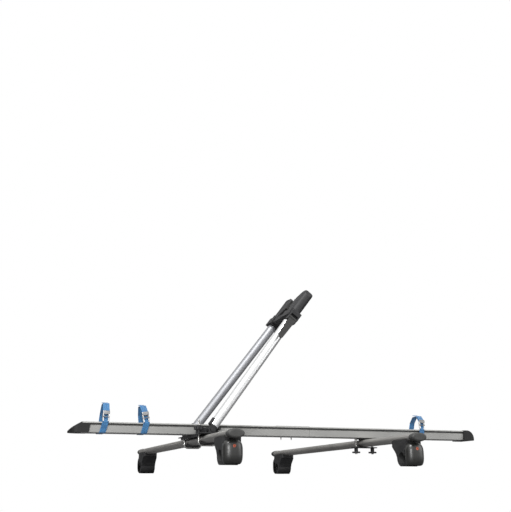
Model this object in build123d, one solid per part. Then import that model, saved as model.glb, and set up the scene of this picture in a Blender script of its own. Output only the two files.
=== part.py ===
"""Roof mounted bike carrier: two crossbars on rail feet, a wheel tray across them and a folding frame arm.

Millimetres. X runs along the tray, from the front wheel's end (-X) to the rear wheel's end (+X).
Y runs along the crossbars, with the tray near their -Y ends. Z is up, and the feet stand on Z = 0.
"""
from build123d import *
import os
from math import atan2, cos, degrees, pi, radians, sin

os.makedirs("parts", exist_ok=True)

# Whole object
bar_length = 1200.0      # over the end caps
bar_spacing = 595.0      # between the crossbars' centre lines
bar_shift = -1.5         # the pair of bars, from the middle of the tray
tray_length = 1444.0     # over both tray caps
tray_offset = 230.0      # the tray's centre line, from the middle of the bars
fit = 0.3                # gap between pieces that only lie side by side
running_fit = 0.08       # radial gap of a shaft in its bore
overrun = 5.0            # how far a cutting tool passes a face

# Crossbars
bar_width = 50.0
bar_height = 25.0
bar_wall = 2.2
bar_web = 2.0
bar_rise = 73.5          # underside of the bar above the ground
cap_lip = 1.0            # the end cap stands this much proud of the bar
cap_skirt = 16.0         # the part of the cap that slides over the bar
cap_nose = 8.0           # the closed, rounded end
cap_round = 5.5
cap_groove = 0.5
cap_groove_pitch = 4.0
cap_grooves = 3

# Rail feet
rail_radius = 16.0       # roof rail that the foot grips
rail_inset = 70.0        # rail centre line, from the bar's end
pad_thickness = 3.0
claw_wall = 8.5
claw_flat = 0.5          # cut off the claw's round belly so that it stands
foot_width = 56.0
foot_reach = 62.0        # from the rail towards the middle of the bar
foot_face = 27.0         # from the rail outwards
foot_horn = 6.0          # the saddle climbs this far up the bar's sides
foot_tip = 14.0          # height of the flange at its inner end
foot_neck = 26.0
shelf_gap = 1.0
jaw_lip = 2.0
jaw_floor = 1.0
jaw_width = 44.0
jaw_plate = 5.0
jaw_plate_top = 62.0
jaw_bevel = 15.0
jaw_heel = 17.0
jaw_plan_depth = 34.0
bolt_radius = 4.0
bolt_head_radius = 6.5
bolt_head = 5.0
bolt_socket = 3.0
bolt_depth = 30.0        # length of the clamp bolt inside the foot
hex_sides = 6
cover_width = 62.0
cover_depth = 24.7
cover_top = 70.5
cover_belly = 34.0       # height of its deepest place
cover_top_share = 0.6    # depth left at its top, of the whole
cover_heel_share = 0.84  # depth left at its foot
cover_floor = 0.5
cover_wall = 2.5
cover_shoulder = 20.0
cover_heel = 11.0
lock_radius = 4.6
lock_length = 5.6
lock_sink = 1.2          # its face, behind the cover's deepest place
lock_rise = 52.0
lock_boss = 2.5
keyway_width = 1.6
keyway_height = 6.0
keyway_depth = 3.0

# Wheel tray
tray_height = 32.5
tray_wall = 1.8
lip_half = 36.0          # half width over the lips
side_half = 33.0         # half width where the side walls are widest
base_half = 29.5
neck_half = 30.0         # half width in the groove under each lip
groove_low = 21.0        # the groove's lower edge above the tray's base
groove_slant = 1.5
lip_height = 4.0
hump_width = 18.0        # raised channel in the floor that takes the bolt heads
hump_height = 7.0
slot_width = 8.6
tray_rib = 1.6
tray_rib_height = 3.0
tray_rib_offset = 18.0
corner_round = 2.0
seam_x = 75.0            # where the two tray sections meet
seam_gap = 0.6
joiner_left = 121.0      # the joiner's length in the front section
joiner_right = 60.0
joiner_wall = 1.5
joiner_flange = 1.2
screw_radius = 3.0
screw_head = 4.5
screw_head_height = 2.4
screw_tip = 11.0
screw_inset = 25.0
screw_pitch = 37.0
front_cap_nose = 38.0    # sloping end of the front cap
front_cap_side = 26.0    # its cheeks, along the tray's sides
front_cap_slant = 6.0    # the cheeks' lower edge reaches this much less far
front_cap_tip = 5.0
front_cap_swell = 1.5    # the slope's middle stands above its chord
front_cap_round = 26.0   # corners of the nose, seen from above
rear_cap_nose = 30.0
rear_cap_side = 11.0
rear_cap_drop = 2.0
rear_cap_radius = 28.0
cap_wall = 2.5

# Base bracket on the front bar
plate_thickness = 3.0
bar_pad = 1.5
bracket_half_x = 36.0
bracket_half_y = 102.0
flange_drop = 8.0
flange_wall = 2.0
cheek_wall = 3.5
cheek_height = 22.0
cheek_half_x = 24.0
boss_radius = 8.0
boss_height = 11.0
ubolt_radius = 3.0
ubolt_gap = 0.5          # between the bar's side and the U-bolt's leg
ubolt_offset = 84.0      # U-bolts, from the tray's centre line
ubolt_top = 145.0
ubolt_bend = 12.0
saddle_thickness = 4.0
saddle_width = 24.0
saddle_cheek = 3.0
knob_radius = 16.0
knob_lobe = 4.6
knob_lobes = 6
knob_height = 9.0
knob_hub_radius = 8.0
knob_hub_height = 5.0

# Rear clamp
rod_radius = 4.0
rod_gap = 2.5            # between the bar's side and the rod
rod_tail = 50.0          # lower end of the rods above the ground
head_square = 13.0
head_height = 3.6
clamp_half_y = 15.0
clamp_over = 9.0         # plates reach past the rods by this much
under_plate = 3.0
wing_neck_radius = 6.5
wing_neck = 12.0
wing_radius = 14.0
wing_flange = 5.0
wing_round = 1.2

# Folding arm: sizes along the arm are measured from its pivot
pivot_x_shift = -0.5     # pivot, from the front bar's centre line
pivot_rise = 112.0
arm_lean = 37.3          # degrees from upright, towards the rear wheel
arm_half_base = 120.0    # half spacing of the tubes at the pivot
arm_half_top = 80.0      # half spacing of the tubes at the clamp head
tube_radius = 15.0
tube_wall = 1.8
tube_start = 15.0
collar_start = 11.3
rail_start = 480.0       # underside of the head rail
rail_depth = 22.0
rail_half_n = 17.0
rail_wall = 3.0
rail_half_y = 100.0
near_tube_gap = 18.0     # the near tube stops short of the rail
spigot_length = 20.0
neck_half_n = 10.0
neck_half_y = 13.0
ear_gap = 22.0
ear_wall = 5.0
ear_radius = 11.0
eye_radius = 10.5
eye_width = 21.4
pin_radius = 4.0
pin_head_radius = 6.5
pin_head = 5.0
tongue_length = 20.0
tongue_depth = 5.0       # of the tongue, measured across the arm
tongue_wall = 3.0

# Clamp head
grip_radius = 21.5       # half the frame tube that the pads hold at rest
grip_from_rail = 55.0    # frame tube's centre above the head rail's top
pad_half_s = 18.0
pad_half_n = 15.0
pad_wall = 3.5
jaw_half_n = 19.0
jaw_claw_half_n = 15.5
jaw_rise = 98.0          # top of the jaws above the head rail's top
jaw_edge = 7.0
collar_drop = 4.0
collar_top = 16.0
near_lip = 5.5
near_wall = 4.5
housing_depth = 22.0
housing_half_n = 17.0
housing_low = 24.0       # lower end of the lever housing, below the rail's underside
housing_high = 2.0
lever_half_n = 13.0
lever_hub_radius = 8.0
lever_pin_radius = 3.0
lever_pivot_drop = 20.0
lever_pivot_out = 15.0
lever_length = 82.0
lever_root = 14.0
lever_tip = 9.0
lever_tip_half_n = 9.0
lever_swing = 14.0       # room above the pivot for the opened lever
tie_radius = 4.0
tie_nut_radius = 9.0
tie_nut = 8.0

# Wheel straps
strap_width = 20.0
strap_thickness = 1.8
strap_first_inset = 104.0    # middle of each strap at the lip, from the nearer end of the tray
strap_second_inset = 238.0
strap_third_inset = 213.0
strap_first_lean = 8.0   # how far each loop's top stands towards the rear
strap_second_lean = -9.0
strap_third_lean = -9.0
strap_rise = 58.0        # top of the loop above the tray's lip
strap_shoulder_rise = 27.0
strap_shoulder_half = 31.0
strap_crown_half = 12.0
strap_round = 6.0
buckle_width = 25.5
buckle_length = 17.0
buckle_depth = 7.5
buckle_slot = 2.8
buckle_window = 18.0
cam_width = 17.4
cam_length = 12.0
cam_thickness = 2.6
cam_radius = 3.0
cam_pin_radius = 1.5

# Worked out from the sizes above
bar_front_x = bar_shift - bar_spacing / 2
bar_rear_x = bar_shift + bar_spacing / 2
bar_z = bar_rise + bar_height / 2
bar_top = bar_rise + bar_height
bar_half = bar_length / 2
tray_y = -tray_offset
seat_radius = rail_radius + pad_thickness
rail_z = seat_radius + claw_wall - claw_flat
plate_bottom = bar_top + bar_pad
tray_base = plate_bottom + plate_thickness
lip_top = tray_base + tray_height
foot_places = {
    "front_near": (bar_front_x, -1), "front_far": (bar_front_x, 1),
    "rear_near": (bar_rear_x, -1), "rear_far": (bar_rear_x, 1),
}
nodes = {}


def add(name, *solids, at=None):
    """Keep one node made of one or more separate solids, with an optional last placement."""
    solids = [piece for part in solids for piece in part.solids()]
    if at is not None:
        solids = [at * piece for piece in solids]
    nodes[name] = solids[0] if len(solids) == 1 else Compound(children=solids)


def box_between(x0, x1, y0, y1, z0, z1):
    """Box from its two opposite corners."""
    size = (x1 - x0, y1 - y0, z1 - z0)
    return Pos((x0 + x1) / 2, (y0 + y1) / 2, (z0 + z1) / 2) * Box(*size)


def round_bar(start, end, radius):
    """Cylinder from one point to another."""
    axis = Vector(*end) - Vector(*start)
    plane = Plane(origin=start, z_dir=axis)
    return extrude(plane * Circle(radius), axis.length)


def side_profile(points, x0, x1):
    """Solid with a (y, z) outline, from x0 to x1."""
    return extrude(Plane.YZ.offset(x0) * Polygon(*points, align=None), x1 - x0, dir=(1, 0, 0))


def front_profile(outline, y0, y1):
    """Solid with an (x, z) outline, from y0 to y1."""
    return extrude(Plane.XZ.offset(-y0) * outline, y1 - y0, dir=(0, 1, 0))


def plan_profile(outline, z0, z1):
    """Solid with an (x, y) outline, from z0 to z1."""
    return extrude(Pos(0, 0, z0) * outline, z1 - z0, dir=(0, 0, 1))


def bar_oval(grow, half_length):
    """Oval of the crossbar, grown all round, along Y about the bar's centre line."""
    outline = Ellipse(bar_width / 2 + grow, bar_height / 2 + grow)
    return extrude(Plane.XZ * outline, half_length, both=True)


# Crossbars
def crossbar(bar_x):
    """Extruded oval tube with an upright web in the middle."""
    half = bar_half - cap_nose
    tube = bar_oval(0, half) - bar_oval(-bar_wall, half + overrun)
    inner = bar_height / 2 - bar_wall / 2
    web = box_between(-bar_web / 2, bar_web / 2, -half, half, -inner, inner)
    return Pos(bar_x, 0, bar_z) * (tube + web)


def bar_end_cap():
    """Cap for the +Y end of a bar: grooved skirt and rounded nose."""
    length = cap_skirt + cap_nose
    outline = Ellipse(bar_width / 2 + cap_lip, bar_height / 2 + cap_lip)
    cap = front_profile(outline, 0, length)
    nose = cap.edges().group_by(Axis.Y)[-1]
    cap = fillet(nose, cap_round)
    cap -= front_profile(Ellipse(bar_width / 2 + running_fit, bar_height / 2 + running_fit), 0, cap_skirt)
    ring = Ellipse(bar_width / 2 + cap_lip + overrun, bar_height / 2 + cap_lip + overrun)
    ring -= Ellipse(bar_width / 2 + cap_lip - cap_groove, bar_height / 2 + cap_lip - cap_groove)
    for index in range(cap_grooves):
        place = (index + 1) * cap_groove_pitch
        cap -= front_profile(ring, place, place + cap_groove)
    return cap


add("crossbar_front", crossbar(bar_front_x))
add("crossbar_rear", crossbar(bar_rear_x))
end_caps = []
for bar_x in (bar_front_x, bar_rear_x):
    for turn in (0, 180):
        place = Pos(bar_x, 0, bar_z) * Rot(0, 0, turn) * Pos(0, bar_half - cap_skirt - cap_nose, 0)
        end_caps.append(place * bar_end_cap())
add("bar_end_caps", *end_caps)


# Rail feet, drawn for the -Y end: the rail runs along X through (y = 0, z = rail_z)
def rail_round(radius, half_x):
    """Cylinder along the roof rail."""
    return Pos(0, 0, rail_z) * extrude(Plane.YZ * Circle(radius), half_x, both=True)


def jaw_space(gap):
    """Room beside and below the rail that belongs to the moving jaw."""
    far = -(foot_face + cover_depth + overrun)
    low = side_profile([(jaw_lip + gap, -overrun), (far, -overrun), (far, rail_z), (jaw_lip + gap, rail_z)],
                       -foot_width, foot_width)
    top = rail_z + seat_radius + shelf_gap
    high = side_profile([(gap - rail_radius, rail_z - overrun), (far, rail_z - overrun), (far, top),
                         (gap - rail_radius, top)], -foot_width, foot_width)
    return low + high


def foot_body():
    """Moulded saddle under the bar with a claw round the inner side of the rail."""
    half = foot_width / 2
    top = bar_rise + foot_horn
    ring = seat_radius + claw_wall
    outline = [(foot_reach, top), (-foot_face, top), (-foot_face, rail_z), (ring, rail_z),
               (foot_neck + claw_wall, rail_z + ring / 2), (foot_reach - claw_wall, top - foot_tip - foot_horn),
               (foot_reach, top - foot_tip)]
    body = side_profile(outline, -half, half) + rail_round(ring, half)
    body -= box_between(-foot_width, foot_width, -foot_width, foot_width, -overrun, 0)
    body -= jaw_space(0)
    body -= rail_round(seat_radius, foot_width)
    body -= Pos(0, 0, bar_z) * bar_oval(fit, bar_half)
    bolt_z = rail_z + seat_radius + shelf_gap + bolt_radius + pad_thickness
    hole = round_bar((0, -foot_face - overrun, bolt_z), (0, bolt_depth - foot_face + overrun, bolt_z),
                     bolt_radius + running_fit)
    body -= hole
    edges = body.edges().filter_by(Axis.Z).group_by(Axis.Y)[-1]
    return fillet(edges, claw_wall)


def foot_pad():
    """Rubber lining between the claw and the rail."""
    half = foot_width / 2
    lining = rail_round(seat_radius - running_fit, half) - rail_round(rail_radius, foot_width)
    return lining - jaw_space(fit)


def rail_jaw():
    """Outer jaw: a claw under the rail and a plate that the clamp bolt pulls inwards."""
    heel = -foot_face - fit
    face = heel - jaw_plate
    shelf = rail_z + seat_radius + shelf_gap - fit
    left = -rail_radius - fit
    outline = [(-jaw_lip - fit, jaw_floor), (-jaw_heel, jaw_floor), (face, jaw_floor + jaw_bevel),
               (face, jaw_plate_top), (heel, jaw_plate_top), (heel, shelf), (left, shelf), (left, rail_z),
               (-jaw_lip - fit, rail_z)]
    jaw = side_profile(outline, -jaw_width / 2, jaw_width / 2) - rail_round(rail_radius, jaw_width)
    plan = Pos(0, -jaw_lip, 0) * Ellipse(jaw_width / 2 + jaw_lip, jaw_plan_depth)
    jaw &= plan_profile(plan, 0, jaw_plate_top)
    bolt_z = rail_z + seat_radius + shelf_gap + bolt_radius + pad_thickness
    jaw -= round_bar((0, heel + overrun, bolt_z), (0, face - overrun, bolt_z), bolt_radius + running_fit)
    return jaw


def jaw_bolt():
    """Socket head bolt that draws the jaw to the rail."""
    bolt_z = rail_z + seat_radius + shelf_gap + bolt_radius + pad_thickness
    face = -foot_face - fit - jaw_plate
    head_end = face - bolt_head
    bolt = round_bar((0, face, bolt_z), (0, bolt_depth - foot_face, bolt_z), bolt_radius)
    bolt += round_bar((0, head_end, bolt_z), (0, face, bolt_z), bolt_head_radius)
    socket = Plane(origin=(0, head_end, bolt_z), z_dir=(0, 1, 0)) * RegularPolygon(bolt_socket, hex_sides)
    return bolt - extrude(socket, bolt_socket)


def cover_solid(shrink):
    """Barrel shape of the foot cover, drawn in from its skin by a wall."""
    face = -foot_face - fit
    low, high = cover_floor + shrink, cover_top - shrink
    plan = Pos(0, face, 0) * Ellipse(cover_width / 2 - shrink, cover_depth - shrink)
    barrel = plan_profile(plan, low, high)
    barrel &= box_between(-cover_width, cover_width, face - cover_width, face, 0, cover_top)
    front = Pos(0, (low + high) / 2) * Rectangle(cover_width - 2 * shrink, high - low)
    shoulders = front.vertices().group_by(Axis.Y)[-1]
    front = fillet(shoulders, cover_shoulder - shrink)
    heels = front.vertices().group_by(Axis.Y)[0]
    front = fillet(heels, cover_heel - shrink)
    depth = cover_depth - shrink
    top = (face - depth * cover_top_share, high)
    heel = (face - depth * cover_heel_share, low)
    belly = ThreePointArc(top, (face - depth, cover_belly), heel)
    back = Polyline(heel, (face, low), (face, high), top)
    bulge = Plane.YZ.offset(-cover_width) * make_face([*belly.edges(), *back.edges()])
    barrel &= extrude(bulge, 2 * cover_width, dir=(1, 0, 0))
    return barrel & front_profile(front, face - cover_width, face)


def foot_cover():
    """Outer cover that hides the clamp bolt, with a boss for its lock."""
    skin = -foot_face - fit - cover_depth
    cover = cover_solid(0) - cover_solid(cover_wall)
    back = skin + lock_sink + lock_length
    boss = round_bar((0, back, lock_rise), (0, skin, lock_rise), lock_radius + lock_boss) & cover_solid(0)
    cover += boss
    return cover - round_bar((0, back + overrun, lock_rise), (0, skin - overrun, lock_rise),
                             lock_radius + running_fit)


def foot_lock():
    """Lock barrel with a keyway in its face."""
    face = -foot_face - fit - cover_depth + lock_sink
    barrel = round_bar((0, face, lock_rise), (0, face + lock_length, lock_rise), lock_radius)
    return barrel - box_between(-keyway_width / 2, keyway_width / 2, face - overrun, face + keyway_depth,
                                lock_rise - keyway_height / 2, lock_rise + keyway_height / 2)


foot_pads = []
for place_name, (bar_x, side) in foot_places.items():
    turn = 0 if side < 0 else 180
    place = Pos(bar_x, side * (bar_half - rail_inset), 0) * Rot(0, 0, turn)
    add("foot_body_" + place_name, foot_body(), at=place)
    add("rail_jaw_" + place_name, rail_jaw(), at=place)
    add("jaw_bolt_" + place_name, jaw_bolt(), at=place)
    add("foot_cover_" + place_name, foot_cover(), at=place)
    add("foot_lock_" + place_name, foot_lock(), at=place)
    foot_pads.append(place * foot_pad())


# Wheel tray, drawn in (y, z) about its centre line with its floor at z = 0
def tray_section_outline():
    """Section of the tray: sloping sides, a bead at each lip and a slotted channel in the floor."""
    low = tray_height - lip_height
    right = [(base_half, 0), (side_half, groove_low), (neck_half, groove_low + groove_slant), (neck_half, low),
             (lip_half, low), (lip_half, tray_height)]
    left = [(-y, z) for y, z in reversed(right)]
    outer = right + left
    inner_base = base_half - tray_wall
    inner_top = neck_half - tray_wall
    inner = [(-inner_base, tray_wall), (inner_base, tray_wall), (inner_top, low),
             (inner_top, tray_height + overrun), (-inner_top, tray_height + overrun), (-inner_top, low)]
    shape = Polygon(*outer, align=None)
    shape = fillet(shape.vertices().sort_by(Axis.Y)[:2], corner_round)
    shape -= Polygon(*inner, align=None)
    shape += Pos(0, hump_height / 2) * Rectangle(hump_width, hump_height)
    channel_top = hump_height - tray_wall
    channel = Rectangle(hump_width - 2 * tray_wall, channel_top - tray_wall)
    shape -= Pos(0, (channel_top + tray_wall) / 2) * channel
    shape -= Pos(0, tray_wall / 2) * Rectangle(slot_width, tray_wall + running_fit)
    for side in (-1, 1):
        shape += Pos(side * tray_rib_offset, tray_rib_height / 2) * Rectangle(tray_rib, tray_rib_height)
    return shape


def tray_section(x0, x1):
    """One extruded length of the tray."""
    section = extrude(Plane.YZ.offset(x0) * tray_section_outline(), x1 - x0)
    return Pos(0, tray_y, tray_base) * section


front_end = front_cap_nose - tray_length / 2
rear_end = tray_length / 2 - rear_cap_nose
add("tray_front", tray_section(front_end, seam_x - seam_gap / 2))
add("tray_rear", tray_section(seam_x + seam_gap / 2, rear_end))


def tray_joiner():
    """Channel inside both sections, with a thin flange that shows on the front section's lips."""
    low = tray_wall + running_fit
    base = base_half - tray_wall - fit
    top = neck_half - tray_wall - fit
    knee = tray_height - lip_height
    outer = [(-base, low), (base, low), (top, knee), (top, tray_height), (-top, tray_height), (-top, knee)]
    inside = [(joiner_wall - base, low + joiner_wall), (base - joiner_wall, low + joiner_wall),
              (top - joiner_wall, knee), (top - joiner_wall, tray_height + overrun),
              (joiner_wall - top, tray_height + overrun), (joiner_wall - top, knee)]
    x0, x1 = seam_x - joiner_left, seam_x + joiner_right
    body = side_profile(outer, x0, x1) - side_profile(inside, x0 - overrun, x1 + overrun)
    reach = hump_width / 2 + fit
    body -= box_between(x0 - overrun, x1 + overrun, -reach, reach, 0, hump_height + fit)
    for side in (-1, 1):
        rib = tray_rib / 2 + fit
        mid = side * tray_rib_offset
        body -= box_between(x0 - overrun, x1 + overrun, mid - rib, mid + rib, 0, tray_rib_height + running_fit)
        edge = side * (top - joiner_wall)
        tip = side * lip_half
        flange = box_between(x0, seam_x - seam_gap, min(edge, tip), max(edge, tip), tray_height,
                             tray_height + joiner_flange)
        body += flange
    halves = body.solids()
    return [Pos(0, tray_y, tray_base) * half for half in halves]


def joint_screw(place_x):
    """Pointed screw down through the joiner and the tray's floor, beside the channel."""
    y = tray_y - (hump_width / 2 + tray_rib_offset) / 2
    seat = tray_base + tray_wall + running_fit + joiner_wall
    shank = round_bar((place_x, y, tray_base), (place_x, y, seat), screw_radius)
    head = round_bar((place_x, y, seat), (place_x, y, seat + screw_head_height), screw_head)
    tip = Pos(place_x, y, tray_base - screw_tip / 2) * Cone(keyway_width / 2, screw_radius, screw_tip)
    return shank + head + tip


screw_xs = [seam_x - joiner_left + screw_inset + index * screw_pitch for index in range(2)]
screws = [joint_screw(place_x) for place_x in screw_xs]
screw_tools = [round_bar((x, tray_y - (hump_width / 2 + tray_rib_offset) / 2, tray_base - overrun),
                         (x, tray_y - (hump_width / 2 + tray_rib_offset) / 2, lip_top),
                         screw_radius + running_fit) for x in screw_xs]
joiner = tray_joiner()
for tool in screw_tools:
    nodes["tray_front"] = nodes["tray_front"] - tool
    joiner = [half - tool for half in joiner]
add("tray_front", nodes["tray_front"])
add("tray_joiner", *joiner)
add("tray_joint_screws", *screws)


def tray_hollow(x0, x1, gap):
    """Space that the tray fills, lips and walls together, grown by a gap."""
    low = tray_height - lip_height
    right = [(base_half + gap, -gap), (side_half + gap, groove_low), (side_half + gap, low - gap),
             (lip_half + gap, low - gap), (lip_half + gap, tray_height + gap)]
    outline = right + [(-y, z) for y, z in reversed(right)]
    return Pos(0, tray_y, tray_base) * side_profile(outline, x0, x1)


def tray_cap_front():
    """Wedge nose with cheeks that lie under the lips along the tray's sides."""
    tip = -tray_length / 2
    side_end = front_end + front_cap_side
    cheek_half = lip_half - running_fit
    cheek_top = tray_height - lip_height - fit
    knee = (front_end, tray_height)
    nose = (tip, front_cap_tip)
    swell = ((front_end + tip) / 2 - front_cap_swell, (tray_height + front_cap_tip) / 2 + front_cap_swell)
    slope = ThreePointArc(knee, swell, nose)
    rest = Polyline(nose, (tip, 0), (side_end - front_cap_slant, 0), (side_end, cheek_top),
                    (front_end, cheek_top), knee)
    shell = front_profile(make_face([*slope.edges(), *rest.edges()]), -cheek_half, cheek_half)
    plan = Pos((tip + side_end) / 2, 0) * Rectangle(side_end - tip, 2 * cheek_half)
    plan = fillet(plan.vertices().group_by(Axis.X)[0], front_cap_round)
    shell &= plan_profile(plan, 0, tray_height)
    inner = [(tip + 2 * cap_wall, cap_wall), (side_end + overrun, cap_wall), (side_end + overrun, tray_height),
             (front_end + overrun, tray_height), (front_end, tray_height - cap_wall),
             (tip + 2 * cap_wall, front_cap_tip)]
    hollow = front_profile(Polygon(*inner, align=None), -base_half, base_half)
    hollow &= plan_profile(offset(plan, -cap_wall), 0, tray_height)
    place = Pos(0, tray_y, tray_base)
    return place * (shell - hollow) - tray_hollow(front_end - running_fit, side_end + overrun, running_fit)


def tray_cap_rear():
    """Rounded nose that wraps the end of the tray."""
    tip = tray_length / 2
    side_start = rear_end - rear_cap_side
    half = lip_half + cap_wall
    size_x = tip - side_start
    height = tray_height + rear_cap_drop + cap_wall / 2
    middle = ((tip + side_start) / 2, height / 2 - rear_cap_drop)
    outline = Pos(*middle) * Rectangle(size_x, height)
    corners = outline.vertices().sort_by(Axis.X)[2:].sort_by(Axis.Y)
    outline = fillet(corners[-1], rear_cap_radius)
    low_corner = outline.vertices().sort_by(Axis.Y)[:2].sort_by(Axis.X)[-1]
    outline = fillet(low_corner, rear_cap_drop)
    shell = extrude(Plane.XZ * outline, half, both=True)
    inner_x = rear_end + fit
    core = offset(outline, -cap_wall)
    hollow = extrude(Plane.XZ * core, half - cap_wall, both=True)
    hollow &= box_between(inner_x, tip, -half, half, 0, tray_height)
    place = Pos(0, tray_y, tray_base)
    return place * (shell - hollow) - tray_hollow(side_start - overrun, inner_x, running_fit)


add("tray_cap_front", tray_cap_front())
add("tray_cap_rear", tray_cap_rear())


# Base bracket on the front bar, drawn about the bar's centre line and the tray's centre line
leg_x = bar_width / 2 + ubolt_gap + ubolt_radius
ear_middles = (arm_half_base - ear_gap / 2 - ear_wall / 2, arm_half_base + ear_gap / 2 + ear_wall / 2)


def ear(middle_y):
    """Upright plate with the arm's pivot hole."""
    y0, y1 = middle_y - ear_wall / 2, middle_y + ear_wall / 2
    foot = plate_bottom
    plate = box_between(pivot_x_shift - ear_radius, pivot_x_shift + ear_radius, y0, y1, foot, pivot_rise)
    plate += round_bar((pivot_x_shift, y0, pivot_rise), (pivot_x_shift, y1, pivot_rise), ear_radius)
    return plate - round_bar((pivot_x_shift, y0 - overrun, pivot_rise),
                             (pivot_x_shift, y1 + overrun, pivot_rise), pin_radius + running_fit)


def base_bracket():
    """Pressed plate on the bar with cheeks for the tray, bosses for the U-bolts and ears for the arm."""
    top = tray_base
    half_x, half_y = bracket_half_x, bracket_half_y
    bracket = box_between(-half_x, half_x, -half_y, half_y, plate_bottom, top)
    for side in (-1, 1):
        lip = side * half_x
        lip_inner = side * (half_x - flange_wall)
        bracket += box_between(min(lip, lip_inner), max(lip, lip_inner), -half_y, half_y,
                               plate_bottom - flange_drop, top)
        cheek_in = side * (lip_half + fit)
        cheek_out = side * (lip_half + fit + cheek_wall)
        bracket += box_between(-cheek_half_x, cheek_half_x, min(cheek_in, cheek_out), max(cheek_in, cheek_out),
                               plate_bottom, top + cheek_height)
        outer = side * (arm_half_base + ear_gap / 2 + ear_wall)
        inner = side * (half_y - overrun)
        bracket += box_between(-half_x, pivot_x_shift + ear_radius, min(outer, inner), max(outer, inner),
                               plate_bottom, top)
        middle = side * arm_half_base
        bracket -= box_between(pivot_x_shift - ear_radius, half_x, middle - ear_gap / 2, middle + ear_gap / 2,
                               plate_bottom - overrun, top + overrun)
        for middle in ear_middles:
            bracket += ear(side * middle)
        for end in (-1, 1):
            foot = (end * leg_x, side * ubolt_offset, plate_bottom)
            bracket += round_bar(foot, (foot[0], foot[1], top + boss_height), boss_radius)
    for side in (-1, 1):
        for end in (-1, 1):
            hole = (end * leg_x, side * ubolt_offset)
            bracket -= round_bar((*hole, plate_bottom - overrun), (*hole, top + boss_height + overrun),
                                 ubolt_radius + running_fit)
    return bracket


def u_bolt():
    """Round bar bent under the saddle, with both threaded legs standing up."""
    low = bar_rise - saddle_thickness - ubolt_radius
    legs = FilletPolyline((-leg_x, 0, ubolt_top), (-leg_x, 0, low), (leg_x, 0, low), (leg_x, 0, ubolt_top),
                          radius=ubolt_bend)
    section = Plane(origin=(-leg_x, 0, ubolt_top), z_dir=(0, 0, -1)) * Circle(ubolt_radius)
    return sweep(section, path=legs)


def lower_saddle():
    """Moulded block that the U-bolt presses against the bar's underside."""
    low = bar_rise - saddle_thickness
    half = bar_width / 2
    outline = Pos(0, (low + bar_z) / 2) * Rectangle(bar_width, bar_z - low)
    outline = fillet(outline.vertices().sort_by(Axis.Y)[:2], ubolt_bend - ubolt_radius + fit)
    block = extrude(Plane.XZ * outline, saddle_width / 2, both=True)
    block &= box_between(-half, half, -half, half, 0, bar_rise + saddle_cheek)
    return block - Pos(0, 0, bar_z) * bar_oval(0, half)


def star_knob():
    """Lobed hand nut with a raised hub, standing on its base."""
    outline = Circle(knob_radius - knob_lobe)
    for index in range(knob_lobes):
        turn = 2 * pi * index / knob_lobes
        reach = knob_radius - knob_lobe
        outline += Pos(reach * cos(turn), reach * sin(turn)) * Circle(knob_lobe)
    knob = plan_profile(outline, 0, knob_height)
    knob += plan_profile(Circle(knob_hub_radius), 0, knob_height + knob_hub_height)
    return knob - plan_profile(Circle(ubolt_radius + running_fit), 0, knob_height + knob_hub_height)


bracket_place = Pos(bar_front_x, tray_y, 0)
add("base_bracket", base_bracket(), at=bracket_place)
add("u_bolts", *[Pos(0, side * ubolt_offset, 0) * u_bolt() for side in (-1, 1)], at=bracket_place)
add("lower_saddles", *[Pos(0, side * ubolt_offset, 0) * lower_saddle() for side in (-1, 1)], at=bracket_place)
knob_base = tray_base + boss_height + running_fit
for side, side_name in ((-1, "near"), (1, "far")):
    for end, end_name in ((-1, "front"), (1, "rear")):
        place = bracket_place * Pos(end * leg_x, side * ubolt_offset, knob_base)
        add("star_knob_" + side_name + "_" + end_name, star_knob(), at=place)


def bar_cushion(half_y):
    """Rubber strip on top of a bar, under a clamp plate."""
    half = bar_width / 2 - bar_height / 2
    strip = box_between(-half, half, -half_y, half_y, bar_z, plate_bottom)
    return strip - Pos(0, 0, bar_z) * bar_oval(running_fit, half_y + overrun)


# Rear clamp: two bolts hang from the tray's channel and hold a plate under the rear bar
rod_x = bar_width / 2 + rod_gap + rod_radius
clamp_half_x = rod_x + rod_radius + clamp_over
low_plate_top = bar_rise - running_fit


def seat_plate():
    """Plate on the bar's cushion that the tray rests on, between the two rods."""
    outline = fillet(Rectangle(bar_width, 2 * clamp_half_y).vertices(), clamp_over / 2)
    return plan_profile(outline, plate_bottom, plate_bottom + plate_thickness)


def clamp_plate(bottom, thickness):
    """Flat plate with rounded corners and two bolt holes."""
    outline = Rectangle(2 * clamp_half_x, 2 * clamp_half_y)
    outline = fillet(outline.vertices(), clamp_over / 2)
    plate = plan_profile(outline, bottom, bottom + thickness)
    for end in (-1, 1):
        plate -= round_bar((end * rod_x, 0, bottom - overrun), (end * rod_x, 0, bottom + thickness + overrun),
                           rod_radius + running_fit)
    return plate


def clamp_bolt():
    """Bolt whose square head runs in the tray's channel."""
    seat = tray_base + tray_wall
    shank = round_bar((0, 0, rod_tail), (0, 0, seat), rod_radius)
    half = head_square / 2
    head_top = seat + min(head_height, hump_height - 2 * tray_wall)
    return shank + box_between(-half, half, -half, half, seat, head_top)


def flange_knob():
    """Hand nut under the lower plate: a neck and a wide flange."""
    top = low_plate_top - under_plate - running_fit
    neck = round_bar((0, 0, top - wing_neck), (0, 0, top), wing_neck_radius)
    flange = round_bar((0, 0, top - wing_neck - wing_flange), (0, 0, top - wing_neck), wing_radius)
    flange = fillet(flange.edges().filter_by(GeomType.CIRCLE), wing_round)
    return neck + flange - round_bar((0, 0, 0), (0, 0, top + overrun), rod_radius + running_fit)


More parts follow.
